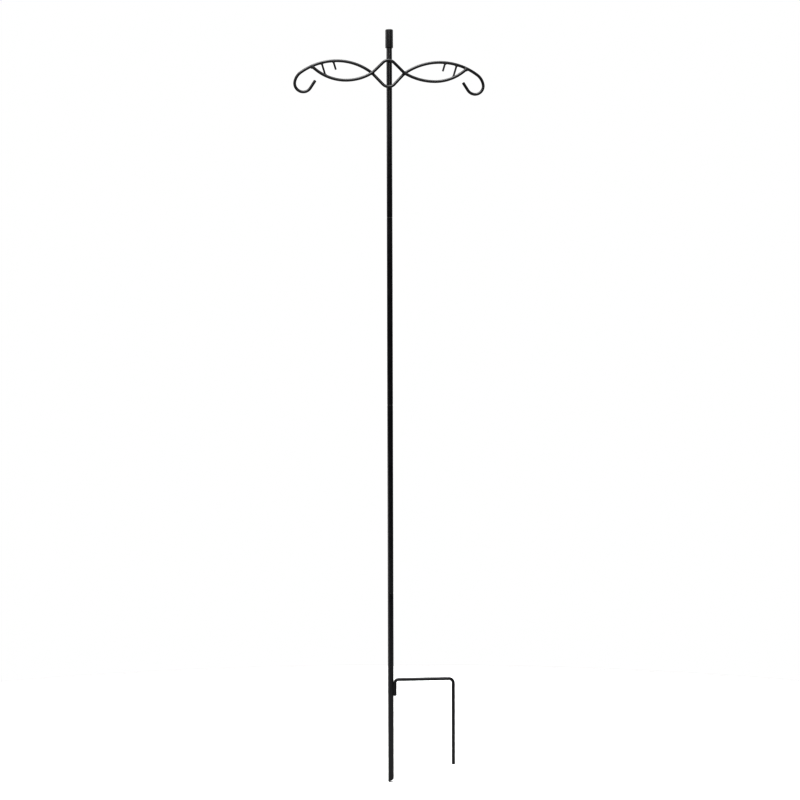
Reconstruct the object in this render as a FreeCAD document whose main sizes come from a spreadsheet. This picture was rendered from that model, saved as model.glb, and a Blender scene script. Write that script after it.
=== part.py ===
"""A garden pole that holds two bird feeders: a FreeCAD macro, in millimetres.

Frame: the origin is on the pole's axis at the soil line, which is the underside of the foot bar.
+Z is up, the two arms reach along -X and +X, and the rods are welded to the pole's -Y side.
"""

import FreeCAD, Part
import math
import os
import Sketcher

from FreeCAD import Placement, Rotation, Vector

# ---------------------------------------------------------------- driving dimensions

SIZES = [
    ("tube_od", 15.9, "pole tube, outer diameter"),
    ("tube_wall", 1.2, "pole tube, wall"),
    ("ground_length", 533, "ground tube, tip to shoulder"),
    ("lower_length", 533, "lower tube, shoulder to shoulder"),
    ("upper_length", 533, "upper tube, shoulder to shoulder"),
    ("head_length", 532, "head tube, shoulder below it to its top end"),
    ("burial_depth", 285.5, "soil line to the tip of the ground tube"),
    ("tip_slant", 9.0, "rise of the slanted cut across the tip"),
    ("spigot_length", 50, "swaged spigot, straight length"),
    ("spigot_gap", 0.1, "spigot to bore, clearance on the radius"),
    ("spigot_taper", 0.5, "lead-in at the spigot's top end"),
    ("shoulder_length", 2.5, "cone between the tube and its spigot"),
    ("cap_od", 22, "top cap, outer diameter"),
    ("cap_length", 53, "top cap, overall length"),
    ("cap_crown", 3, "top cap, thickness over the tube's end"),
    ("cap_dome", 1.2, "top cap, rise of the domed end"),
    ("cap_round", 2.2, "top cap, radius of the domed end's edge"),
    ("cap_gap", 0.08, "cap bore to tube, clearance on the radius"),
    ("rod_od", 8, "hook rod and brace rod, diameter"),
    ("rod_bevel", 1.0, "bevel on a rod's cut ends"),
    ("weld_gap", 0.1, "gap left between welded pieces, which the bead fills"),
    ("crossing_gap", 0.3, "hook rod to brace rod, gap from front to back along the arms"),
    ("arm_drop", 122.6, "tube's top end down to where the rods cross"),
    ("crossing_reach", 45.8, "middle of the arches out to where the rods cross"),
    ("arch_offset", -3.4, "pole axis to the middle of the arches, along X"),
    ("top_arch_height", 36, "crossings up to the middle of the brace rod's arch"),
    ("bottom_arch_height", 39, "crossings down to the middle of the hook rod's arch"),
    ("arch_radius", 22, "bend of both rods in front of the pole"),
    ("kink_lead", 5, "half of the short bend at the crossing"),
    ("hook_peak_reach", 147, "hook rod, pole axis to its highest point"),
    ("hook_peak_rise", 33.4, "hook rod, crossing to its highest point"),
    ("hook_fall_radius", 177, "hook rod, long bend beyond the highest point"),
    ("hook_fall_turn", 36.5, "hook rod, degrees turned by the long bend"),
    ("hook_drop_radius", 42, "hook rod, bend into the curl"),
    ("hook_drop_turn", 43.5, "hook rod, degrees turned into the curl"),
    ("curl_radius", 24, "hook rod, radius of the curl"),
    ("curl_turn", 157, "hook rod, degrees turned by the curl"),
    ("tail_length", 26, "hook rod, straight end after the curl"),
    ("brace_low_reach", 127, "brace rod, pole axis to its lowest point"),
    ("brace_low_drop", 22.5, "brace rod, crossing to its lowest point"),
    ("brace_rise_radius", 134, "brace rod, bend beyond the lowest point"),
    ("brace_rise_turn", 43.5, "brace rod, degrees turned up to its end"),
    ("peg_od", 5, "pegs in the arms, diameter"),
    ("outer_peg_reach", 193, "outer peg, reach of its upper end"),
    ("outer_peg_foot", 181.5, "outer peg, reach of its lower end on the brace rod"),
    ("inner_peg_reach", 160, "inner peg, reach of its upper end"),
    ("inner_peg_length", 26, "inner peg, hook rod's axis to the free end"),
    ("prong_od", 9, "foot prong, rod diameter"),
    ("prong_reach", 178, "foot prong, pole axis to its outer leg"),
    ("prong_seat_angle", 26, "degrees from +X round to where the prong is welded"),
    ("prong_heel_length", 46, "foot prong, bar's axis down to the end beside the pole"),
    ("prong_leg_length", 244, "foot prong, bar's axis down to the outer leg's end"),
    ("prong_corner", 13, "foot prong, bend over the outer leg"),
    ("prong_heel_bend", 10, "foot prong, bend beside the pole"),
    ("bead_radius", 6, "weld bead where two rods or a rod and the pole touch, half width"),
    ("bead_depth", 5, "the same bead, from front to back"),
    ("collar_width", 1.6, "weld bead round a peg's end, beyond the peg"),
    ("collar_length", 3.5, "the same bead, along the peg"),
    ("heel_bead_radius", 1.9, "weld beads beside the prong's short end, half width"),
    ("heel_bead_share", 0.85, "the same beads' length over the short end's straight length"),
]

doc = FreeCAD.newDocument("FeederPole")
sheet = doc.addObject("Spreadsheet::Sheet", "Sizes")
for row, (alias, value, meaning) in enumerate(SIZES, start=1):
    sheet.set(f"A{row}", meaning)
    sheet.set(f"B{row}", str(value))
    sheet.setAlias(f"B{row}", alias)
doc.recompute()
size = {alias: float(sheet.get(alias)) for alias, value, meaning in SIZES}

X, Y, Z = Vector(1, 0, 0), Vector(0, 1, 0), Vector(0, 0, 1)

# Heights of the pole's joints, as formulas on the sheet.
TIP = "-Sizes.burial_depth"
FIRST_JOINT = f"({TIP} + Sizes.ground_length)"
SECOND_JOINT = f"({FIRST_JOINT} + Sizes.lower_length)"
THIRD_JOINT = f"({SECOND_JOINT} + Sizes.upper_length)"
TUBE_TOP = f"({THIRD_JOINT} + Sizes.head_length)"

TUBE_RADIUS = "Sizes.tube_od / 2"
BORE_RADIUS = "(Sizes.tube_od / 2 - Sizes.tube_wall)"
SPIGOT_RADIUS = f"({BORE_RADIUS} - Sizes.spigot_gap)"

# The same places as numbers, for the bent rods.
tube_top = (
    size["ground_length"]
    + size["lower_length"]
    + size["upper_length"]
    + size["head_length"]
    - size["burial_depth"]
)
crossing_z = tube_top - size["arm_drop"]
brace_y = -(size["tube_od"] / 2 + size["weld_gap"] + size["rod_od"] / 2)
hook_y = brace_y + size["rod_od"] + size["crossing_gap"]
peg_y = brace_y + (size["rod_od"] + size["peg_od"]) / 2 + size["weld_gap"]

nodes = []


def keep(feature, name):
    """Labels a finished sub-part with its node's name and puts it on the list to be written."""
    feature.Label = name
    nodes.append(feature)
    return feature


# ---------------------------------------------------------------- turned pieces


def origin_plane(body, role):
    """The plane of a body's own origin that has this role."""
    return next(f for f in body.Origin.OriginFeatures if f.Role == role)


def turned_body(name, corners):
    """A body turned about Z. Each corner of its half outline is (radius, height), as formulas."""
    body = doc.addObject("PartDesign::Body", name + "_body")
    sketch = body.newObject("Sketcher::SketchObject", name + "_outline")
    sketch.AttachmentSupport = (origin_plane(body, "XZ_Plane"), [""])
    sketch.MapMode = "FlatFace"
    count = len(corners)
    turns = [2 * math.pi * i / count for i in range(count)]
    start = [Vector(20 - 10 * math.cos(t), -10 * math.sin(t), 0) for t in turns]
    for i in range(count):
        sketch.addGeometry(Part.LineSegment(start[i], start[(i + 1) % count]), False)
    for i in range(count):
        sketch.addConstraint(Sketcher.Constraint("Coincident", i, 2, (i + 1) % count, 1))
    for i, corner in enumerate(corners):
        for kind, formula, value in zip(("DistanceX", "DistanceY"), corner, start[i]):
            index = sketch.addConstraint(Sketcher.Constraint(kind, -1, 1, i, 1, value))
            sketch.setExpression(f"Constraints[{index}]", formula)
    doc.recompute()
    turned = body.newObject("PartDesign::Revolution", name + "_turned")
    turned.Profile = (sketch, [""])
    turned.ReferenceAxis = (sketch, ["V_Axis"])
    turned.Angle = 360
    doc.recompute()
    return body


def spigot_tube(name, bottom, shoulder):
    """A tube from bottom to shoulder, swaged above it to a spigot for the next tube's bore."""
    spigot_foot = f"({shoulder} + Sizes.shoulder_length)"
    spigot_top = f"({spigot_foot} + Sizes.spigot_length)"
    return turned_body(
        name,
        [
            (BORE_RADIUS, bottom),
            (TUBE_RADIUS, bottom),
            (TUBE_RADIUS, shoulder),
            (SPIGOT_RADIUS, spigot_foot),
            (SPIGOT_RADIUS, f"{spigot_top} - 3 * Sizes.spigot_taper"),
            (f"{SPIGOT_RADIUS} - Sizes.spigot_taper", spigot_top),
            (f"{SPIGOT_RADIUS} - Sizes.tube_wall", spigot_top),
            (f"{SPIGOT_RADIUS} - Sizes.tube_wall", spigot_foot),
            (BORE_RADIUS, shoulder),
        ],
    )


# The ground tube's tip is sawn on a slant, longest on the -X side.
blank = spigot_tube("ground_blank", TIP, FIRST_JOINT)
saw = doc.addObject("Part::Wedge", "tip_saw")
for edge, formula in {
    "Xmin": "-Sizes.tube_od",
    "Xmax": "Sizes.tube_od",
    "X2min": "Sizes.tube_od",
    "X2max": "Sizes.tube_od",
    "Ymin": "0",
    "Ymax": "2 * Sizes.tip_slant",
    "Zmin": "-Sizes.tube_od",
    "Zmax": "Sizes.tube_od",
    "Z2min": "-Sizes.tube_od",
    "Z2max": "Sizes.tube_od",
}.items():
    saw.setExpression(edge, formula)
saw.Placement = Placement(Vector(), Rotation(X, 90))
saw.setExpression("Placement.Base.z", f"{TIP} - Sizes.tip_slant / 2")
ground_tube = doc.addObject("Part::Cut", "ground_sawn")
ground_tube.Base = blank
ground_tube.Tool = saw
keep(ground_tube, "ground_tube")

# Each tube above sits on the shoulder of the one below.
FIRST_SEAT = f"({FIRST_JOINT} + Sizes.shoulder_length)"
SECOND_SEAT = f"({SECOND_JOINT} + Sizes.shoulder_length)"
THIRD_SEAT = f"({THIRD_JOINT} + Sizes.shoulder_length)"
keep(spigot_tube("lower_tube", FIRST_SEAT, SECOND_JOINT), "lower_tube")
keep(spigot_tube("upper_tube", SECOND_SEAT, THIRD_JOINT), "upper_tube")
head_outline = [
    (BORE_RADIUS, THIRD_SEAT),
    (TUBE_RADIUS, THIRD_SEAT),
    (TUBE_RADIUS, TUBE_TOP),
    (BORE_RADIUS, TUBE_TOP),
]
keep(turned_body("head_tube", head_outline), "head_tube")


def circles_at(shape, height, radius):
    """Names of the round edges of this radius whose centre is at this height."""
    names = []
    for index, edge in enumerate(shape.Edges, start=1):
        curve = edge.Curve
        if not isinstance(curve, Part.Circle):
            continue
        if abs(curve.Center.z - height) < 0.01 and abs(curve.Radius - radius) < 0.01:
            names.append(f"Edge{index}")
    return names


# The cap is a moulded cup with a low domed end, rounded over at its edge.
CAP_TOP = f"({TUBE_TOP} + Sizes.cap_crown)"
CAP_BORE = f"({TUBE_RADIUS} + Sizes.cap_gap)"
cap = turned_body(
    "top_cap",
    [
        ("0", TUBE_TOP),
        (CAP_BORE, TUBE_TOP),
        (CAP_BORE, f"{CAP_TOP} - Sizes.cap_length"),
        ("Sizes.cap_od / 2", f"{CAP_TOP} - Sizes.cap_length"),
        ("Sizes.cap_od / 2", f"{CAP_TOP} - Sizes.cap_dome"),
        ("0", CAP_TOP),
    ],
)
cap_edge_z = tube_top + size["cap_crown"] - size["cap_dome"]
cap_turned = cap.Tip
cap_round = cap.newObject("PartDesign::Fillet", "cap_round")
cap_round.Base = (cap_turned, circles_at(cap_turned.Shape, cap_edge_z, size["cap_od"] / 2))
cap_round.setExpression("Radius", "Sizes.cap_round")
keep(cap, "top_cap")


# ---------------------------------------------------------------- bent rods


class Route:
    """The centreline of a bent rod: straight runs and tangent bends, one after another."""

    def __init__(self, place, heading):
        self.place = Vector(place)
        self.heading = Vector(heading).normalize()
        self.spans = []

    def run(self, length):
        """Goes straight on."""
        end = self.place + self.heading * length
        self.spans.append((self.place, end))
        self.place = end
        return self

    def bend(self, radius, degrees, axis):
        """Turns about an axis, by the right-hand rule, on an arc of this radius."""
        inward = axis.cross(self.heading).normalize()
        centre = self.place + inward * radius
        spoke = self.place - centre
        half = centre + Rotation(axis, degrees / 2).multVec(spoke)
        end = centre + Rotation(axis, degrees).multVec(spoke)
        self.spans.append((self.place, half, end))
        self.place = end
        self.heading = Rotation(axis, degrees).multVec(self.heading)
        return self


def both_sides(left, right):
    """One route from the left arm's end to the right arm's. Both halves are drawn towards +X."""
    flipped = [
        tuple(Vector(-p.x, p.y, p.z) for p in reversed(span)) for span in reversed(left.spans)
    ]
    return flipped + right.spans


def span_edge(span):
    """A straight edge through two points, or an arc through three."""
    if len(span) == 2:
        return Part.LineSegment(*span).toShape()
    return Part.Arc(*span).toShape()


def bent_rod(name, spans, diameter, bevel, seam=0):
    """A round rod swept along the spans, with its two cut ends bevelled.

    seam turns the circle's starting point, in degrees, to keep the swept faces' seam off welds.
    """
    edges = [span_edge(span) for span in spans]
    route = doc.addObject("Part::Feature", name + "_route")
    route.Shape = Part.Wire(edges)
    section = doc.addObject("Part::Circle", name + "_section")
    section.setExpression("Radius", f"Sizes.{diameter} / 2")
    start_heading = edges[0].tangentAt(edges[0].FirstParameter)
    turned = Rotation(Z, start_heading).multiply(Rotation(Z, seam))
    section.Placement = Placement(spans[0][0], turned)
    swept = doc.addObject("Part::Sweep", name + "_swept")
    swept.Sections = [section]
    swept.Spine = (route, [])
    swept.Solid = True
    doc.recompute()
    ends = (spans[0][0], spans[-1][-1])
    radius = size[diameter] / 2
    expected = math.pi * radius**2 * route.Shape.Length
    if abs(swept.Shape.Volume / expected - 1) > 0.001:
        raise SystemExit(f"{name} has the wrong volume: {swept.Shape.Volume} for {expected}")
    bevelled = doc.addObject("Part::Chamfer", name)
    bevelled.Base = swept
    bevelled.Edges = [
        (index, size[bevel], size[bevel])
        for index, edge in enumerate(swept.Shape.Edges, start=1)
        if isinstance(edge.Curve, Part.Circle)
        and min((edge.Curve.Center - end).Length for end in ends) < 0.01
    ]
    doc.recompute()
    return bevelled


def diamond_half(rise, offset, height, back):
    """Half of a rod's bend in front of the pole, out to where the rods cross.

    The rod runs level past the pole's front, bends, and goes straight to the crossing. rise is
    +1 where the arch is under the crossing and -1 where it is over it. offset is the X of the
    arch's middle, and height is from there to the crossing. The rod also leans back, by back,
    where it passes behind the other one at the crossing. The route stops short of the
    crossing, where a short bend takes it into the arm.
    """
    slope = math.hypot(height, back)
    upward = Vector(0, back / slope, rise * height / slope)
    above_centre = slope - size["arch_radius"]
    reach = size["crossing_reach"]
    turn = math.atan2(above_centre, reach)
    turn += math.asin(size["arch_radius"] / math.hypot(reach, above_centre))
    straight = math.sqrt(reach**2 + above_centre**2 - size["arch_radius"] ** 2)
    route = Route((offset, brace_y, crossing_z - rise * height), X)
    route.bend(size["arch_radius"], math.degrees(turn), X.cross(upward))
    return route.run(straight - size["kink_lead"])


def arm_bend(route, rise, crossing, reach, height):
    """The short bend at the crossing, and the long one out to the arm's level point.

    The long arc's heading at the crossing is the one that brings it level at reach and height.
    """
    across = reach - crossing
    lead = size["kink_lead"]
    heading = 2 * math.atan(height / (across + lead))
    out = Vector(math.cos(heading), 0, rise * math.sin(heading))
    kink = route.heading.getAngle(out)
    route.bend(lead / math.tan(kink / 2), math.degrees(kink), route.heading.cross(out).normalize())
    radius = (across - lead * math.cos(heading)) / math.sin(heading)
    return route.bend(radius, math.degrees(heading), Y * rise)


def hook_half(offset):
    """The hook rod from the middle of its arch out to one of its ends."""
    route = diamond_half(+1, offset, size["bottom_arch_height"], hook_y - brace_y)
    crossing = size["crossing_reach"] + offset
    arm_bend(route, +1, crossing, size["hook_peak_reach"], size["hook_peak_rise"])
    route.bend(size["hook_fall_radius"], size["hook_fall_turn"], Y)
    route.bend(size["hook_drop_radius"], size["hook_drop_turn"], Y)
    route.bend(size["curl_radius"], size["curl_turn"], Y)
    return route.run(size["tail_length"])


def brace_half(offset):
    """The brace rod from the middle of its arch out to one of its ends, in front of the hook rod."""
    route = diamond_half(-1, offset, size["top_arch_height"], 0)
    crossing = size["crossing_reach"] + offset
    arm_bend(route, -1, crossing, size["brace_low_reach"], size["brace_low_drop"])
    return route.bend(size["brace_rise_radius"], size["brace_rise_turn"], -Y)


# Both rods were bent alike on the two sides, and welded on with the arches a little off centre.
offset = size["arch_offset"]
hook_spans = both_sides(hook_half(-offset), hook_half(offset))
hook_rod = keep(bent_rod("hook_rod_bent", hook_spans, "rod_od", "rod_bevel", 45), "hook_rod")
brace_spans = both_sides(brace_half(-offset), brace_half(offset))
brace_rod = keep(bent_rod("brace_rod_bent", brace_spans, "rod_od", "rod_bevel"), "brace_rod")
brace_end = brace_spans[-1][-1]

# The prong stands beside the pole, bends over, runs level and bends down to its outer leg.
seat_radius = size["tube_od"] / 2 + size["weld_gap"] + size["prong_od"] / 2
seat_turn = math.radians(size["prong_seat_angle"])
seat_out = Vector(math.cos(seat_turn), -math.sin(seat_turn), 0)
bar_z = size["prong_od"] / 2
heel = seat_out * seat_radius + Z * (bar_z - size["prong_heel_length"])
prong = Route(heel, Z)
prong.run(size["prong_heel_length"] - size["prong_heel_bend"])
prong.bend(size["prong_heel_bend"], 90, Y)
prong.run(size["prong_reach"] - heel.x - size["prong_heel_bend"] - size["prong_corner"])
prong.bend(size["prong_corner"], 90, Y)
prong.run(size["prong_leg_length"] - size["prong_corner"])
foot_prong = bent_rod("foot_prong_bent", prong.spans, "prong_od", "rod_bevel")
keep(foot_prong, "foot_prong")


# ---------------------------------------------------------------- pegs in the arms


def hook_point(reach):
    """The hook rod's centreline at this reach, on its long bend beyond the highest point."""
    past = reach - size["hook_peak_reach"]
    sag = size["hook_fall_radius"] - math.sqrt(size["hook_fall_radius"] ** 2 - past**2)
    return Vector(reach, peg_y, crossing_z + size["hook_peak_rise"] - sag)


def brace_point(reach):
    """The brace rod's centreline at this reach, on its bend beyond the lowest point."""
    past = reach - size["brace_low_reach"]
    climb = size["brace_rise_radius"] - math.sqrt(size["brace_rise_radius"] ** 2 - past**2)
    return Vector(reach, peg_y, crossing_z - size["brace_low_drop"] + climb)


def arm_image(feature, name):
    """The same piece in the arm that reaches along -X: its mirror image in the plane X = 0."""
    image = doc.addObject("Part::Mirroring", name)
    image.Source = feature
    image.Base = Vector(0, 0, 0)
    image.Normal = X
    return image


# The pegs lean inwards. The outer one reaches the brace rod, and the inner one ends free.
outer_top, outer_foot = hook_point(size["outer_peg_reach"]), brace_point(size["outer_peg_foot"])
peg_lean = (outer_foot - outer_top).normalize()
inner_top = hook_point(size["inner_peg_reach"])
inner_foot = inner_top + peg_lean * size["inner_peg_length"]
PEG_ENDS = {"outer": (outer_top, outer_foot), "inner": (inner_top, inner_foot)}
pegs = {}
for peg_name, (top, foot) in PEG_ENDS.items():
    coped_top = top + peg_lean * (size["rod_od"] / 4)
    bar = doc.addObject("Part::Cylinder", f"{peg_name}_bar")
    bar.setExpression("Radius", "Sizes.peg_od / 2")
    bar.Height = (foot - coped_top).Length
    bar.Placement = Placement(coped_top, Rotation(Z, peg_lean))
    peg = doc.addObject("Part::Cut", f"{peg_name}_coped")
    peg.Base = bar
    peg.Tool = hook_rod
    pegs[peg_name] = keep(peg, f"right_{peg_name}_peg")
    keep(arm_image(peg, f"{peg_name}_image"), f"left_{peg_name}_peg")


# ---------------------------------------------------------------- weld beads

pole_core = doc.addObject("Part::Cylinder", "pole_core")
pole_core.setExpression("Radius", TUBE_RADIUS)
pole_core.setExpression("Height", f"{TUBE_TOP} + Sizes.burial_depth")
pole_core.setExpression("Placement.Base.z", TIP)


def bead(name, centre, axis, radius, length, cutters):
    """Weld metal in the corner between pieces: a short round slug with those pieces cut out."""
    metal = doc.addObject("Part::Cylinder", name + "_metal")
    metal.Radius, metal.Height = radius, length
    metal.Placement = Placement(centre - axis * (length / 2), Rotation(Z, axis))
    for count, cutter in enumerate(cutters):
        cut = doc.addObject("Part::Cut", f"{name}_cut_{count}")
        cut.Base = metal
        cut.Tool = cutter
        metal = cut
    return metal


def weld(name, beads):
    """One node of one or more beads."""
    if len(beads) == 1:
        return keep(beads[0], name)
    group = doc.addObject("Part::Compound", name + "_group")
    group.Links = beads
    return keep(group, name)


contact_y = -size["tube_od"] / 2
seam = (size["bead_radius"], size["bead_depth"])
for name, rod, height in (
    ("top_arch_weld", brace_rod, size["top_arch_height"]),
    ("bottom_arch_weld", hook_rod, -size["bottom_arch_height"]),
):
    centre = Vector(0, contact_y, crossing_z + height)
    weld(name, [bead(name, centre, Y, *seam, (pole_core, rod))])
for side_name, side in (("left", -1), ("right", 1)):
    crossing_x = side * size["crossing_reach"] + size["arch_offset"]
    centre = Vector(crossing_x, contact_y, crossing_z)
    name = f"{side_name}_crossing_weld"
    weld(name, [bead(name, centre, Y, *seam, (brace_rod, hook_rod))])

end_centre = Vector(brace_end.x, contact_y, brace_end.z)
end_bead = bead("end_weld", end_centre, Y, *seam, (brace_rod, hook_rod))
weld("right_brace_end_weld", [end_bead])
weld("left_brace_end_weld", [arm_image(end_bead, "end_weld_image")])

collar_radius = size["peg_od"] / 2 + size["collar_width"]
peg_beads = []
for peg_name, peg in pegs.items():
    name = f"{peg_name}_collar"
    centre = PEG_ENDS[peg_name][0] + peg_lean * (size["rod_od"] / 2)
    collar = bead(name, centre, peg_lean, collar_radius, size["collar_length"], (peg, hook_rod))
    peg_beads.append(collar)
foot_centre = outer_foot - peg_lean * (size["peg_od"] / 2)
foot_centre.y = contact_y
foot_metal = (collar_radius, size["bead_depth"], (pegs["outer"], brace_rod))
peg_beads.append(bead("peg_foot_bead", foot_centre, Y, *foot_metal))
images = [arm_image(metal, f"{metal.Name}_image") for metal in peg_beads]
weld("peg_welds", peg_beads + images)

# The prong's short end has a bead down each side, in the groove between it and the pole.
heel_straight = size["prong_heel_length"] - size["prong_heel_bend"]
groove = Vector(math.sin(seat_turn), math.cos(seat_turn), 0)
heel_contact = seat_out * (size["tube_od"] / 2) + Z * (heel.z + heel_straight / 2)
groove_reach = 1.5 * size["heel_bead_radius"]
heel_length = size["heel_bead_share"] * heel_straight
heel_beads = []
for n, reach in enumerate((-groove_reach, groove_reach)):
    centre = heel_contact + groove * reach
    metal = (size["heel_bead_radius"], heel_length, (pole_core, foot_prong))
    heel_beads.append(bead(f"heel_bead_{n}", centre, Z, *metal))
weld("foot_weld", heel_beads)


# ---------------------------------------------------------------- checks and files

doc.recompute()
failed = [f.Name for f in doc.Objects if {"Invalid", "Error"} & set(f.State)]
if failed:
    raise SystemExit(f"these features failed: {failed}")
for node in nodes:
    if node.Shape.isNull() or not node.Shape.isValid() or not node.Shape.Solids:
        raise SystemExit(f"{node.Label} isn't a valid solid")

os.makedirs("parts", exist_ok=True)
for node in nodes:
    node.Shape.exportStep(f"parts/{node.Label}.step")
    box = node.Shape.BoundBox
    print(
        f"{node.Label:24} {len(node.Shape.Solids)} solid(s) {node.Shape.Volume:10.1f} mm3"
        f"  x {box.XMin:8.2f} {box.XMax:8.2f}  y {box.YMin:7.2f} {box.YMax:7.2f}"
        f"  z {box.ZMin:8.2f} {box.ZMax:8.2f}"
    )
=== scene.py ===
"""A garden pole with two scrolled arms for bird feeders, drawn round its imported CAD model.

Metres. The origin is on the pole's axis at the soil line, +Z is up, the arms reach along -X and
+X, and the rods are welded to the pole's -Y side, which faces the camera.
"""

import math

import bpy
import numpy as np
from mathutils import Matrix, Vector


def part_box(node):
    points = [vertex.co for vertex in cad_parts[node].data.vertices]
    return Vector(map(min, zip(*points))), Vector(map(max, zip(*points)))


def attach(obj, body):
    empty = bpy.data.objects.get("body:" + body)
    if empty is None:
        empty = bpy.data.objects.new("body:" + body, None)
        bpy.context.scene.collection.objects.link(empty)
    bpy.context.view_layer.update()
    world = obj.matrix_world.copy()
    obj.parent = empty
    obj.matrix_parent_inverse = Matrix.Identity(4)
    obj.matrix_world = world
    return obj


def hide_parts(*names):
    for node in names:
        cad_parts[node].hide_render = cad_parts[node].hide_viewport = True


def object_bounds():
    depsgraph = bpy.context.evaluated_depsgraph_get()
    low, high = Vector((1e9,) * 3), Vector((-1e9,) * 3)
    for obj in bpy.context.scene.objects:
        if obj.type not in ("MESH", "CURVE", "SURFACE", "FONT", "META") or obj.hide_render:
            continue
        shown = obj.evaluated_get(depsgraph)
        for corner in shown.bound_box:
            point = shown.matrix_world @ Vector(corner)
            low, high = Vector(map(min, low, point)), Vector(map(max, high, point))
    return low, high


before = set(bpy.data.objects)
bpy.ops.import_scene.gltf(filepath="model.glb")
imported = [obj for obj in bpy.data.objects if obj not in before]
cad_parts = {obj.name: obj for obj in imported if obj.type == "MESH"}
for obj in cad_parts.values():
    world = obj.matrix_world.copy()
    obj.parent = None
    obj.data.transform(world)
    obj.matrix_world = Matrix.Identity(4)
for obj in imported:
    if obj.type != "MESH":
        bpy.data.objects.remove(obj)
cad_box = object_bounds()

MM = 0.001
TURN = 2 * math.pi

# ------------------------------------------------------------------ surfaces


def rings_to_mesh(name, shells):
    """One mesh from closed shells.

    Each shell is an array of rings (ring, point on the ring, xyz), whose neighbours are joined
    by four-sided faces. Where the last ring repeats the first, the shell is a loop, as a tube's
    wall is; otherwise its first and last ring are each closed by a fan to the ring's middle. A
    shell whose volume comes out negative has its faces turned round, so they point outwards.
    """
    points, faces, count = [], [], 0
    for rings in shells:
        looped = np.allclose(rings[0], rings[-1])
        rings = rings[:-1] if looped else rings
        rows, around = rings.shape[:2]
        grid = np.arange(rows * around).reshape(rows, around)
        below = np.concatenate([grid, grid[:1]]) if looped else grid
        after = np.roll(below, -1, axis=1)
        quads = np.stack([below[:-1], after[:-1], after[1:], below[1:]], -1).reshape(-1, 4)
        flat, fans = rings.reshape(-1, 3), np.zeros((0, 3), int)
        if not looped:
            flat = np.concatenate([flat, [rings[0].mean(0), rings[-1].mean(0)]])
            first = np.stack([after[0], grid[0], np.full(around, rows * around)], -1)
            last = np.stack([grid[-1], after[-1], np.full(around, rows * around + 1)], -1)
            fans = np.concatenate([first, last])
        corner = flat[np.concatenate([quads[:, [0, 1, 2]], quads[:, [0, 2, 3]], fans])]
        if np.einsum("ij,ij->", corner[:, 0], np.cross(corner[:, 1], corner[:, 2])) < 0:
            quads, fans = quads[:, ::-1], fans[:, ::-1]
        points.append(flat)
        faces += (quads + count).tolist() + (fans + count).tolist()
        count += len(flat)
    mesh = bpy.data.meshes.new(name)
    mesh.from_pydata(np.concatenate(points), [], faces)
    mesh.polygons.foreach_set("use_smooth", np.ones(len(mesh.polygons), bool))
    mesh.update()
    return mesh


def add_piece(name, shells, material, body, node):
    """A finished piece from its shells: it rides on a body and stands for one CAD node."""
    piece = bpy.data.objects.new(name, rings_to_mesh(name, shells))
    bpy.context.scene.collection.objects.link(piece)
    piece.data.materials.append(material)
    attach(piece, body)
    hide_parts(node)
    return piece


def rounded(corners, reach, steps=5):
    """A half outline with its corners rounded.

    Each corner (radius, height) is replaced by points of the parabola that leaves one side and
    joins the next at the corner's own reach, or at a third of a shorter side. The two ends stay
    as they are. `reach` is one number for all corners, or one for each corner between the ends.
    """
    corners = np.asarray(corners, float)
    reaches = np.broadcast_to(reach, len(corners) - 2)
    line = [corners[:1]]
    for before, corner, after, reach in zip(corners[:-2], corners[1:-1], corners[2:], reaches):
        back, on = before - corner, after - corner
        back_length, on_length = np.linalg.norm(back), np.linalg.norm(on)
        start = corner + back / back_length * min(reach, back_length / 3)
        stop = corner + on / on_length * min(reach, on_length / 3)
        t = np.linspace(0, 1, steps)[:, None]
        line.append(start * (1 - t) ** 2 + corner * 2 * t * (1 - t) + stop * t**2)
    line.append(corners[-1:])
    return np.concatenate(line)


def turned(outline, across):
    """Rings of a turned shape: each outline point (radius, height) goes once round Z."""
    angle = np.linspace(0, TURN, across, endpoint=False)
    radius, height = outline[:, :1], outline[:, 1:]
    return np.stack([radius * np.cos(angle), radius * np.sin(angle), height + 0 * angle], -1)


def frames_along(path, sideways):
    """Unit directions of a path and two unit vectors across it, the first as near as it can be
    to `sideways`, made square to the path point by point."""
    ahead = np.gradient(path, axis=0)
    ahead /= np.linalg.norm(ahead, axis=1, keepdims=True)
    first = sideways - ahead * (ahead * sideways).sum(1, keepdims=True)
    first /= np.linalg.norm(first, axis=1, keepdims=True)
    return ahead, first, np.cross(ahead, first)


def weld_run(path, radius, pitch, crown, seed, lean=0.9, height=0.13, swell=0.14):
    """Rings of one run of weld metal along a path, whose crown faces the direction `crown`.

    The run's radius is the given one times three factors: a round nose at either end, the
    square root of one minus the sixth power of the place along the run, from -1 to 1; ripples,
    one plus `height` times the size of the sine of (half a turn times length along the run over
    pitch, plus `lean` times the cosine of the angle from the crown), which bends each ripple
    into a crescent; and a slow swell, one plus `swell` times the mean of three sines whose
    phases come from the seed.
    """
    step = np.linalg.norm(np.diff(path, axis=0), axis=1)
    along = np.concatenate([[0], np.cumsum(step)])
    place = along / along[-1] * 2 - 1
    angle = np.linspace(0, TURN, 20, endpoint=False)
    nose = (1 - place**6).clip(0.0004) ** 0.5
    ripple = 1 + height * np.abs(
        np.sin(math.pi * (along[:, None] / pitch + lean * np.cos(angle) / 2))
    )
    phases = np.random.default_rng(seed).uniform(0, TURN, 3)
    waves = sum(
        np.sin(along / pitch * rate + phase) for rate, phase in zip((0.7, 1.3, 2.1), phases)
    )
    size = radius * nose[:, None] * ripple * (1 + swell * waves[:, None] / 3)
    ahead, first, second = frames_along(path, np.asarray(crown, float))
    ring = first[:, None] * np.cos(angle)[:, None] + second[:, None] * np.sin(angle)[:, None]
    return path[:, None] + ring * size[..., None]


# ------------------------------------------------------------------ materials


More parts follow.
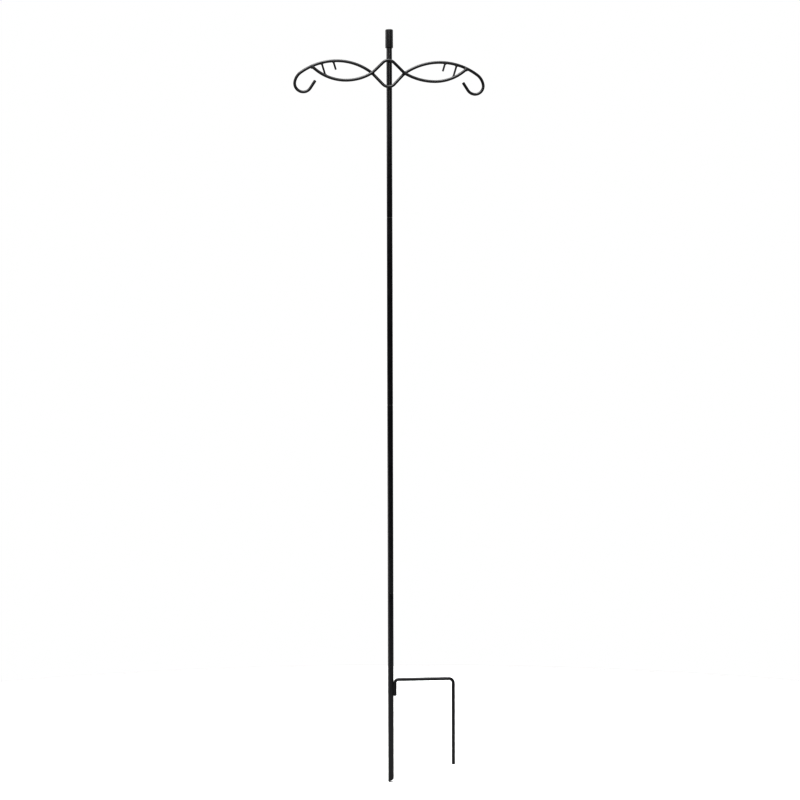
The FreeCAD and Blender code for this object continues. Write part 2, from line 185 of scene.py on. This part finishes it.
def linear(code):
    """Linear red, green, blue and 1 from an sRGB hex colour."""
    shown = np.array([int(code[i : i + 2], 16) / 255 for i in (1, 3, 5)])
    light = np.where(shown <= 0.04045, shown / 12.92, ((shown + 0.055) / 1.055) ** 2.4)
    return (*light.tolist(), 1.0)


def add(tree, kind, inputs=None, **settings):
    """Adds a node. Settings are its own properties; an input's value is a number, a colour or
    another node's output, which is then linked."""
    made = tree.nodes.new(kind)
    for key, value in settings.items():
        setattr(made, key, value)
    for key, value in (inputs or {}).items():
        if isinstance(value, bpy.types.NodeSocket):
            tree.links.new(value, made.inputs[key])
        else:
            made.inputs[key].default_value = value
    return made


def new_material(name):
    """An empty node material with its output node and object coordinates."""
    material = bpy.data.materials.new(name)
    material.use_nodes = True
    tree = material.node_tree
    tree.nodes.clear()
    place = add(tree, "ShaderNodeTexCoord").outputs["Object"]
    return material, tree, place


def drifting_black(tree, place, dark, light, spread):
    """A black that drifts between two shades over `spread`, and the drift itself."""
    drift = add(tree, "ShaderNodeTexNoise", {"Vector": place, "Scale": 1 / spread, "Detail": 3.0})
    black = add(
        tree, "ShaderNodeMix",
        {"Factor": drift.outputs["Fac"], 6: linear(dark), 7: linear(light)},
        data_type="RGBA",
    )
    return black.outputs[2], drift.outputs["Fac"]


def bumps(tree, layers):
    """Bump nodes one on another. A layer is (height, how deep it is in metres)."""
    normal = None
    for height, depth in layers:
        inputs = {"Height": height, "Distance": depth}
        if normal:
            inputs["Normal"] = normal
        normal = add(tree, "ShaderNodeBump", inputs).outputs[0]
    return normal


SLIDING_RADIUS = 7.0 * MM
BARE_STEEL = "#8d8a86"


def powder_coat(name, dark, light, peel, peel_depth, rough, scuffed=()):
    """Satin black polyester powder, baked on steel.

    The melted powder leaves an orange-peel surface: soft dimples `peel` across and `peel_depth`
    deep, which break up its highlights, under a grain of 0.5 mm. The gloss drifts a little over
    35 mm. At the `scuffed` heights, (from, to) along the pole, a spigot slides in the next
    tube's bore: on those faces, which are nearer the axis than SLIDING_RADIUS, lengthwise
    scratches about 1 mm apart go through the coat to bare steel.
    """
    material, tree, place = new_material(name)
    black, drift = drifting_black(tree, place, dark, light, 35 * MM)
    dimples = add(tree, "ShaderNodeTexNoise", {"Vector": place, "Scale": 1 / peel, "Detail": 1.0})
    grain = add(tree, "ShaderNodeTexNoise", {"Vector": place, "Scale": 1 / (0.5 * MM)})
    gloss = add(
        tree, "ShaderNodeMapRange", {0: drift, 1: 0.3, 2: 0.7, 3: rough - 0.04, 4: rough + 0.05}
    )
    layers = [(dimples.outputs["Fac"], peel_depth), (grain.outputs["Fac"], 0.008 * MM)]
    inputs = {
        "Base Color": black, "Roughness": gloss.outputs[0], "IOR": 1.5, "Specular IOR Level": 0.4
    }
    if scuffed:
        height = add(tree, "ShaderNodeSeparateXYZ", {0: place}).outputs["Z"]
        flat = add(tree, "ShaderNodeVectorMath", {0: place, 1: (1, 1, 0)}, operation="MULTIPLY")
        radius = add(tree, "ShaderNodeVectorMath", {0: flat.outputs[0]}, operation="LENGTH")
        bare = add(
            tree, "ShaderNodeMath", {0: radius.outputs["Value"], 1: SLIDING_RADIUS},
            operation="LESS_THAN",
        ).outputs[0]
        zone = 0.0
        for low, high in scuffed:
            inside = add(
                tree, "ShaderNodeMath",
                {0: height, 1: (low + high) / 2, 2: (high - low) / 2}, operation="COMPARE",
            )
            zone = add(
                tree, "ShaderNodeMath", {0: inside.outputs[0], 1: zone}, operation="MAXIMUM"
            ).outputs[0]
        stretched = add(
            tree, "ShaderNodeMapping",
            {"Vector": place, "Scale": (1 / MM, 1 / MM, 1 / (30 * MM))},
        )
        streaks = add(
            tree, "ShaderNodeTexNoise",
            {"Vector": stretched.outputs[0], "Scale": 1.0, "Detail": 3.0},
        )
        cut = add(
            tree, "ShaderNodeMapRange",
            {0: streaks.outputs["Fac"], 1: 0.6, 2: 0.72, 3: 0.0, 4: 0.8},
        )
        for part in (zone, cut.outputs[0]):
            bare = add(
                tree, "ShaderNodeMath", {0: bare, 1: part}, operation="MULTIPLY"
            ).outputs[0]
        worn = add(
            tree, "ShaderNodeMix", {"Factor": bare, 6: black, 7: linear(BARE_STEEL)},
            data_type="RGBA",
        )
        inputs["Base Color"], inputs["Metallic"] = worn.outputs[2], bare
        cover = add(tree, "ShaderNodeMath", {0: 1.0, 1: bare}, operation="SUBTRACT")
        layers.append((cover.outputs[0], 0.06 * MM))
    inputs["Normal"] = bumps(tree, layers)
    shader = add(tree, "ShaderNodeBsdfPrincipled", inputs)
    add(tree, "ShaderNodeOutputMaterial", {"Surface": shader.outputs[0]})
    return material


def moulded_vinyl(name):
    """Soft black PVC, moulded over a steel core.

    The mould was spark-eroded and has worn smoother, so the skin is satin with an even grain of
    0.7 mm. Faint rings 2.5 mm apart, left by the core as it was stripped off, cross it.
    """
    material, tree, place = new_material(name)
    black, drift = drifting_black(tree, place, "#131314", "#19191a", 12 * MM)
    grain = add(tree, "ShaderNodeTexVoronoi", {"Vector": place, "Scale": 1 / (0.7 * MM)})
    rings = add(
        tree, "ShaderNodeTexWave",
        {"Vector": place, "Scale": 1 / (20 * 2.5 * MM) * TURN, "Distortion": 1.5},
        bands_direction="Z",
    )
    rough = add(tree, "ShaderNodeMapRange", {0: drift, 1: 0.3, 2: 0.7, 3: 0.36, 4: 0.42})
    layers = [(grain.outputs["Distance"], 0.035 * MM), (rings.outputs["Fac"], 0.015 * MM)]
    shader = add(
        tree, "ShaderNodeBsdfPrincipled",
        {"Base Color": black, "Roughness": rough.outputs[0], "IOR": 1.52,
         "Specular IOR Level": 0.3, "Normal": bumps(tree, layers)},
    )
    add(tree, "ShaderNodeOutputMaterial", {"Surface": shader.outputs[0]})
    return material


SPIGOTS = [
    (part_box(above)[0].z + 1.0 * MM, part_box(below)[1].z)
    for below, above in (
        ("ground_tube", "lower_tube"), ("lower_tube", "upper_tube"), ("upper_tube", "head_tube")
    )
]
coat_tube = powder_coat(
    "satin_black_powder_coat_on_tube", "#0b0b0d", "#121214", 2.2 * MM, 0.06 * MM, 0.3, SPIGOTS
)
coat_rod = powder_coat(
    "satin_black_powder_coat_on_rod", "#09090b", "#101012", 1.8 * MM, 0.05 * MM, 0.3
)
coat_weld = powder_coat(
    "satin_black_powder_coat_on_weld", "#0a0a0c", "#131315", 1.2 * MM, 0.05 * MM, 0.38
)
cap_vinyl = moulded_vinyl("satin_black_moulded_vinyl")

for name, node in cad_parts.items():
    node.data.materials.clear()
    node.data.materials.append(coat_tube if name.endswith("tube") else coat_rod)

# ------------------------------------------------------------------ tubes and cap

TUBE_R, WALL = 7.95, 1.2
SPIGOT_LENGTH, SPIGOT_GAP, SHOULDER, LEAD_IN = 50.0, 0.1, 2.5, 0.5
TIP_SLANT, TIP_FADE = 9.0, 40.0
RIM_ROUND = 0.45


def tube_outline(node, spigot):
    """Half outline of a tube's wall in mm, as a closed loop that starts half way up the bore.

    With a spigot, its top end is drawn down to slide in the next tube's bore: the wall rounds
    over within the 2.5 mm shoulder, goes straight up for 50 mm and ends in a short lead-in.
    """
    low, high = (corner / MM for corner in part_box(node))
    outer, bore = high.x, high.x - WALL
    middle = (bore, (low.z + high.z) / 2)
    foot = [middle, (bore, low.z), (outer, low.z)]
    if not spigot:
        return rounded(foot + [(outer, high.z), (bore, high.z), middle], RIM_ROUND)
    neck, top = bore - SPIGOT_GAP, high.z
    shoulder = top - SPIGOT_LENGTH - SHOULDER
    return rounded(
        foot
        + [(outer, shoulder), (outer - 0.2, shoulder + 1.5), (neck, shoulder + 2.3)]
        + [(neck, top - LEAD_IN), (neck - LEAD_IN, top), (neck - WALL, top)]
        + [(neck - WALL, shoulder + SHOULDER), (bore, shoulder), middle],
        RIM_ROUND,
    )


def slanted_tip(rings, foot, slant):
    """Lifts the tube's lower end so that its rim lies in a plane, which rises by `slant` from
    the -X side to the +X side. The lift fades out, as the square, over TIP_FADE above the rim."""
    reach = rings[..., 0].max()
    lift = slant * (rings[..., 0] / reach + 1) / 2
    fade = (1 - (rings[..., 2] - foot) / TIP_FADE).clip(0, 1) ** 2
    return rings + np.stack([0 * lift, 0 * lift, lift * fade], -1)


TUBES = {
    "ground_tube": ("ground_section", True),
    "lower_tube": ("lower_section", True),
    "upper_tube": ("upper_section", True),
    "head_tube": ("head_section", False),
}
for node, (body, spigot) in TUBES.items():
    rings = turned(tube_outline(node, spigot), 96)
    if node == "ground_tube":
        rings = slanted_tip(rings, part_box(node)[0].z / MM, TIP_SLANT)
    add_piece(f"{node}_rolled_edges", [rings * MM], coat_tube, body, node)


CAP_GAP, CAP_CROWN = 0.08, 3.0
PARTING_TURN, PARTING_HEIGHT = math.radians(130), 0.08


def cap_rings(low, high):
    """Rings of the moulded cap, in mm, from the middle of its top, down its skirt and up the bore.

    The top is a low dome with a sunk gate mark, whose stub is cut off short of the dome. The
    skirt tapers by 0.15 mm, to leave the mould, and ends in a rounded lip. Its radius is that of
    the outline plus PARTING_HEIGHT times two bell curves a degree wide, half a turn apart: the
    mould's parting lines. They fade out on the dome, and the bore has none.
    """
    outer, top, foot = high.x, high.z, low.z
    bore, roof = TUBE_R + CAP_GAP, top - CAP_CROWN
    outline = rounded(
        [(0.05, top - 0.3), (0.75, top - 0.3), (0.85, top - 0.7), (1.9, top - 0.7),
         (2.2, top - 0.05), (outer - 0.23, top - 1.2), (outer - 0.08, foot),
         (bore, foot), (bore, roof), (0.05, roof)],
        (0.15, 0.15, 0.15, 0.3, 2.4, 0.9, 0.6, 0.4), 7,
    )
    rings = turned(outline, 240)
    angle = np.linspace(0, TURN, 240, endpoint=False)
    away = np.abs((angle - PARTING_TURN + TURN / 4) % (TURN / 2) - TURN / 4)
    line = PARTING_HEIGHT * np.exp(-((away / math.radians(1)) ** 2))
    outside = np.clip((outline[:, 0] - outer + 2.0) / 1.0, 0, 1) * (outline[:, 1] > foot + 0.4)
    scale = 1 + outside[:, None] * line / outer
    return np.stack([rings[..., 0] * scale, rings[..., 1] * scale, rings[..., 2]], -1)


rings = cap_rings(*(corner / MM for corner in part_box("top_cap"))) * MM
add_piece("top_cap_moulded", [rings], cap_vinyl, "cap_section", "top_cap")

# ------------------------------------------------------------------ bent rods

ROD_R, PRONG_R, PEG_R = 4.0, 4.5, 2.5
WELD_GAP, CROSSING_GAP = 0.1, 0.3
BRACE_Y = -(TUBE_R + WELD_GAP + ROD_R)
HOOK_LEAN = 2 * ROD_R + CROSSING_GAP
ARCH_RADIUS, ARCH_MIDDLE, CROSSING_REACH, KINK_LEAD = 22.0, -3.4, 45.8, 5.0
X_AXIS, Y_AXIS, Z_AXIS = np.eye(3)


def box_centre(node):
    """The middle of a CAD node's box, in mm."""
    low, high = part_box(node)
    return np.array((low + high) / 2) / MM


def centreline(place, heading, moves):
    """Points of a bent rod's centreline, in mm, about 1.2 mm apart on bends and 3 mm on runs.

    A move is a length to go straight on, or (radius, angle, axis) for a tangent bend. On a bend
    the spoke from its centre to the place is turned about the axis through angles from 0 to the
    whole one: its part square to the axis by cosine and sine, which here is all of it.
    """
    place, heading = np.asarray(place, float), np.asarray(heading, float)
    points = [place[None]]
    for move in moves:
        if isinstance(move, tuple):
            radius, angle, axis = move
            inward = np.cross(axis, heading)
            centre = place + inward * radius
            turned_by = np.linspace(0, angle, 2 + int(radius * angle / 1.2))[1:, None]
            arc = centre + radius * (-inward * np.cos(turned_by) + heading * np.sin(turned_by))
            heading = heading * math.cos(angle) + inward * math.sin(angle)
        else:
            arc = place + heading * np.linspace(0, move, 2 + int(move / 3))[1:, None]
        points.append(arc)
        place = arc[-1]
    return np.concatenate(points)


def arm_moves(rise, arch_height, lean, peak_reach, peak_height, offset):
    """Moves from the middle of a rod's arch, round it, up or down to the crossing and on to the
    arm's level point.

    The arch bend ends where a straight line from it meets the crossing. The short bend there
    takes the rod into the arm's long bend, whose heading is twice the angle up to the level
    point, as any arc's is.
    """
    slope = math.hypot(arch_height, lean)
    upward = np.array([0, lean, rise * arch_height]) / slope
    above = slope - ARCH_RADIUS
    turn = math.atan2(above, CROSSING_REACH)
    turn += math.asin(ARCH_RADIUS / math.hypot(CROSSING_REACH, above))
    straight = math.sqrt(CROSSING_REACH**2 + above**2 - ARCH_RADIUS**2)
    heading = X_AXIS * math.cos(turn) + upward * math.sin(turn)
    beyond = peak_reach - CROSSING_REACH - offset
    out_turn = 2 * math.atan(peak_height / (beyond + KINK_LEAD))
    out = X_AXIS * math.cos(out_turn) + Z_AXIS * rise * math.sin(out_turn)
    kink = math.acos(heading @ out)
    kink_axis = np.cross(heading, out) / math.sin(kink)
    long_radius = (beyond - KINK_LEAD * math.cos(out_turn)) / math.sin(out_turn)
    return [
        (ARCH_RADIUS, turn, np.cross(X_AXIS, upward)),
        straight - KINK_LEAD,
        (KINK_LEAD / math.tan(kink / 2), kink, kink_axis),
        (long_radius, out_turn, Y_AXIS * rise),
    ]


def arm_rod(rise, arch_height, lean, peak_reach, peak_height, beyond):
    """The centreline of a whole arm rod, from its -X end to its +X end: the two halves have the
    same bends, and start at the arch's middle, which is a little off the pole's axis."""
    halves = []
    for offset in (-ARCH_MIDDLE, ARCH_MIDDLE):
        start = (offset, BRACE_Y, box_centre("left_crossing_weld")[2] - rise * arch_height)
        moves = arm_moves(rise, arch_height, lean, peak_reach, peak_height, offset)
        halves.append(centreline(start, X_AXIS, moves + beyond))
    left, right = halves
    return np.concatenate([(left * (-1, 1, 1))[:0:-1], right])


def rod_rings(path, radius, bevel, sideways):
    """Rings of a round bar bent along a path.

    Its ends are sawn square and bevelled, and the coat rounds their edges. Where the path
    bends, the bar has flattened: its half width in the bend's plane, which is square to
    `sideways`, is less by a tenth of the bar's radius over the bend's.
    """
    step = np.linalg.norm(np.diff(path, axis=0), axis=1)
    along = np.concatenate([[0], np.cumsum(step)])
    ahead, first, second = frames_along(path, np.asarray(sideways, float))
    bend = np.linalg.norm(np.gradient(ahead, along, axis=0), axis=1)
    end = rounded([(0.05, 0), (radius - bevel, 0), (radius, bevel), (radius, 2.5)], 0.45)
    inner = (along > 3) & (along < along[-1] - 3)
    place = np.concatenate([end[:, 1], along[inner], along[-1] - end[::-1, 1]])
    size = np.concatenate([end[:, 0], np.full(inner.sum(), radius), end[::-1, 0]])
    smooth = np.convolve(bend, np.ones(5) / 5, "same")
    flat = 0.1 * radius * np.interp(place, along, smooth)
    carried = [
        np.stack([np.interp(place, along, part[:, axis]) for axis in range(3)], -1)
        for part in (path, first, second)
    ]
    angle = np.linspace(0, TURN, 36, endpoint=False)
    wide = size[:, None] * np.cos(angle)
    thin = (size * (1 - flat))[:, None] * np.sin(angle)
    return carried[0][:, None] + carried[1][:, None] * wide[..., None] \
        + carried[2][:, None] * thin[..., None]


def degrees(radius, angle, axis):
    """A bend's radius, angle in degrees and axis as a move."""
    return radius, math.radians(angle), axis


hook_end = [degrees(177, 36.5, Y_AXIS), degrees(42, 43.5, Y_AXIS), degrees(24, 157, Y_AXIS), 26.0]
hook_path = arm_rod(+1, 39.0, HOOK_LEAN, 147.0, 33.4, hook_end)
brace_path = arm_rod(-1, 36.0, 0.0, 127.0, 22.5, [degrees(134, 43.5, -Y_AXIS)])

SEAT_TURN = math.radians(-26)
outward = np.array([math.cos(SEAT_TURN), math.sin(SEAT_TURN), 0])
heel = outward * (TUBE_R + WELD_GAP + PRONG_R) + Z_AXIS * (PRONG_R - 46)
prong_path = centreline(
    heel, Z_AXIS,
    [36.0, degrees(10, 90, Y_AXIS), 178 - heel[0] - 10 - 13, degrees(13, 90, Y_AXIS), 231.0],
)
for node, path, radius, body in (
    ("hook_rod", hook_path, ROD_R, "head_section"),
    ("brace_rod", brace_path, ROD_R, "head_section"),
    ("foot_prong", prong_path, PRONG_R, "ground_section"),
):
    rings = rod_rings(path, radius, 1.0, Y_AXIS)
    add_piece(f"{node}_bent", [rings * MM], coat_rod, body, node)

# ------------------------------------------------------------------ welds


def ring_path(centre, axis, radius, start):
    """A circle about a centre, in the plane square to an axis, from the angle `start` round to
    6% past a whole turn, which lays the weld's end over its start."""
    axis = np.asarray(axis, float) / np.linalg.norm(axis)
    side = np.cross(axis, [0.0, 0.0, 1.0] if abs(axis[2]) < 0.9 else [1.0, 0.0, 0.0])
    side /= np.linalg.norm(side)
    angle = start + np.linspace(0, 1.06 * TURN, 150)[:, None]
    return centre + radius * (side * np.cos(angle) + np.cross(axis, side) * np.sin(angle))


def arch_weld(node, rise, seed):
    """Two runs across the pole's front, over and under the rod that is bent past it.

    The rod's height there is its middle less rise times the sagitta of its bend at x. Each run
    keeps 3.4 mm from that line and 1 mm outside the tube's round front.
    """
    middle = box_centre(node)[2]
    x = np.linspace(-5.8, 5.8, 80)
    rod = middle - rise * (ARCH_RADIUS - np.sqrt(ARCH_RADIUS**2 - (x - ARCH_MIDDLE) ** 2))
    front = -np.sqrt(TUBE_R**2 - x**2) - 1.0
    return [
        weld_run(
            np.stack([x, front, rod + side * 3.5], -1), 2.0, 1.9, (0, -1, side), seed + side
        )
        for side in (-1, 1)
    ]


for node, rise, seed in (("top_arch_weld", 1, 11), ("bottom_arch_weld", -1, 21)):
    shells = [run * MM for run in arch_weld(node, rise, seed)]
    add_piece(f"{node}_rippled", shells, coat_weld, "head_section", node)


def weld_round(centre, axis, reach, radius, pitch, seed):
    """A run of weld round an axis, whose crown faces away from that axis."""
    path = ring_path(centre, axis, reach, start=seed)
    return weld_run(path, radius, pitch, (path - centre) / reach, seed)


for seed, node in enumerate(
    ("left_crossing_weld", "right_crossing_weld", "left_brace_end_weld", "right_brace_end_weld"),
    start=31,
):
    centre = box_centre(node)
    shells = [weld_round(centre, Y_AXIS, reach, 2.1, 2.1, seed) * MM for reach in (3.9, 1.5)]
    add_piece(f"{node}_rippled", shells, coat_weld, "head_section", node)

collars = np.array([v.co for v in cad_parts["peg_welds"].data.vertices]) / MM
reach = np.abs(collars[:, 0])
KINDS = {"inner_top": reach < 170, "outer_foot": (reach > 170) & (reach < 187),
         "outer_top": reach > 187}
places = {
    (kind, side): (collars[chosen].min(0) + collars[chosen].max(0)) / 2
    for kind, mask in KINDS.items()
    for side in (-1, 1)
    for chosen in [mask & (np.sign(collars[:, 0]) == side)]
}
shells = []
for seed, ((kind, side), centre) in enumerate(places.items()):
    lean = (places["outer_top", side] - places["outer_foot", side]) * (1, 0, 1)
    axis, reach = (Y_AXIS, PEG_R + 0.4) if kind == "outer_foot" else (lean, PEG_R + 0.5)
    shells.append(weld_round(centre, axis, reach, 1.15, 1.4, 51 + seed) * MM)
add_piece("peg_welds_rippled", shells, coat_weld, "head_section", "peg_welds")

GROOVE_REACH = 2.9
beside = np.array([-outward[1], outward[0], 0])
low, high = (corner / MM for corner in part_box("foot_weld"))
z = np.linspace(low.z, high.z, 140)
shells = []
for side in (-1, 1):
    start = outward * (TUBE_R - 0.2) + beside * GROOVE_REACH * side
    sway = 0.25 * np.sin(z / 4.3 + side)[:, None] * outward
    path = start + sway + z[:, None] * (0, 0, 1)
    shells.append(weld_run(path, 1.9, 2.2, beside * side - outward * 0.3, 71 + side) * MM)
add_piece("foot_weld_rippled", shells, coat_weld, "ground_section", "foot_weld")

# ------------------------------------------------------------------ floor, light and camera

TIP_Z = cad_box[0].z
FLOOR_RADIUS = 2.6

rim = np.linspace(0, TURN, 128, endpoint=False)
disc = np.stack([np.cos(rim), np.sin(rim), 0 * rim], -1) * FLOOR_RADIUS
floor = bpy.data.objects.new("floor", bpy.data.meshes.new("floor"))
floor.data.from_pydata(disc + (0, 0, TIP_Z - 0.2 * MM), [], [tuple(range(len(rim)))])
paper, tree, place = new_material("matt_pale_paper")
shader = add(tree, "ShaderNodeBsdfPrincipled", {"Base Color": linear("#b0b0b0"), "Roughness": 0.9})
add(tree, "ShaderNodeOutputMaterial", {"Surface": shader.outputs[0]})
floor.data.materials.append(paper)
bpy.context.scene.collection.objects.link(floor)


def add_light(name, kind, energy, place, aim, **settings):
    """A light at a place, turned so that it shines at the aim point."""
    lamp = bpy.data.lights.new(name, kind)
    lamp.energy = energy
    for key, value in settings.items():
        setattr(lamp, key, value)
    made = bpy.data.objects.new(name, lamp)
    made.location = place
    made.rotation_euler = (Vector(aim) - Vector(place)).to_track_quat("-Z", "Y").to_euler()
    made.visible_camera = False
    bpy.context.scene.collection.objects.link(made)
    return made


add_light("overhead", "SUN", 4.0, (-1.5, -2.0, 6.0), (0, 0, 0), angle=math.radians(40))
add_light("front_soft", "AREA", 300.0, (-0.5, -2.6, 4.2), (0, 0, 1.7), size=3.2)
for name, energy, place, aim, size in (
    ("left_side_soft", 20.0, (-1.3, 0.1, 2.15), (0, 0, 1.75), 1.3),
    ("right_side_soft", 14.0, (1.3, 0.1, 2.15), (0, 0, 1.75), 1.3),
    ("left_foot_soft", 8.0, (-1.3, 0.0, 0.2), (0, 0, -0.05), 0.8),
    ("front_strip", 10.0, (0.3, -3.0, 2.35), (0, 0, 1.8), 0.7),
):
    add_light(name, "AREA", energy, place, aim, size=size)

# The room: a wide softbox overhead, a white wall behind the pole and a dim room in front of it.
# The camera itself sees plain white all round, and no lamp.
world = bpy.data.worlds.new("white_room")
bpy.context.scene.world = world
world.use_nodes = True
tree = world.node_tree
tree.nodes.clear()
way = add(
    tree, "ShaderNodeSeparateXYZ", {0: add(tree, "ShaderNodeTexCoord").outputs["Generated"]}
)
softbox = add(
    tree, "ShaderNodeMapRange", {0: way.outputs["Z"], 1: 0.75, 2: 0.95, 3: 0.0, 4: 6.0},
    interpolation_type="SMOOTHSTEP",
)
wall = add(
    tree, "ShaderNodeMapRange", {0: way.outputs["Y"], 1: 0.1, 2: 0.75, 3: 0.08, 4: 2.4},
    interpolation_type="SMOOTHSTEP",
)
both = add(tree, "ShaderNodeMath", {0: softbox.outputs[0], 1: wall.outputs[0]})
room = add(tree, "ShaderNodeBackground", {"Strength": both.outputs[0]})
seen = add(tree, "ShaderNodeBackground", {"Color": linear("#ffffff"), "Strength": 1.0})
mixed = add(
    tree, "ShaderNodeMixShader",
    {0: add(tree, "ShaderNodeLightPath").outputs["Is Camera Ray"],
     1: room.outputs[0], 2: seen.outputs[0]},
)
add(tree, "ShaderNodeOutputWorld", {"Surface": mixed.outputs[0]})

# A studio picture's tone: white stays white, and the darker tones are printed deeper.
bpy.context.scene.view_settings.view_transform = "Standard"
bpy.context.scene.view_settings.gamma = 0.65

AZIMUTH = math.radians(-6.6)
ROLL = math.radians(0.148)
DISTANCE = 6.0
EYE_HEIGHT = 0.7968
POLE_OFFSET = 0.0281
back = np.array([math.sin(AZIMUTH), -math.cos(AZIMUTH), 0.0])
right = np.array([math.cos(AZIMUTH), math.sin(AZIMUTH), 0.0])
eye = back * DISTANCE + right * POLE_OFFSET + Z_AXIS * EYE_HEIGHT
across = right * math.cos(ROLL) - Z_AXIS * math.sin(ROLL)
upright = Z_AXIS * math.cos(ROLL) + right * math.sin(ROLL)
camera = bpy.data.objects.new("camera", bpy.data.cameras.new("camera"))
camera.data.lens = 95.17
camera.data.sensor_width = 36.0
camera.data.clip_end = 200.0
turn = np.eye(4)
turn[:3] = np.stack([across, upright, back, eye], -1)
camera.matrix_world = Matrix(turn.tolist())
bpy.context.scene.collection.objects.link(camera)
bpy.context.scene.camera = camera
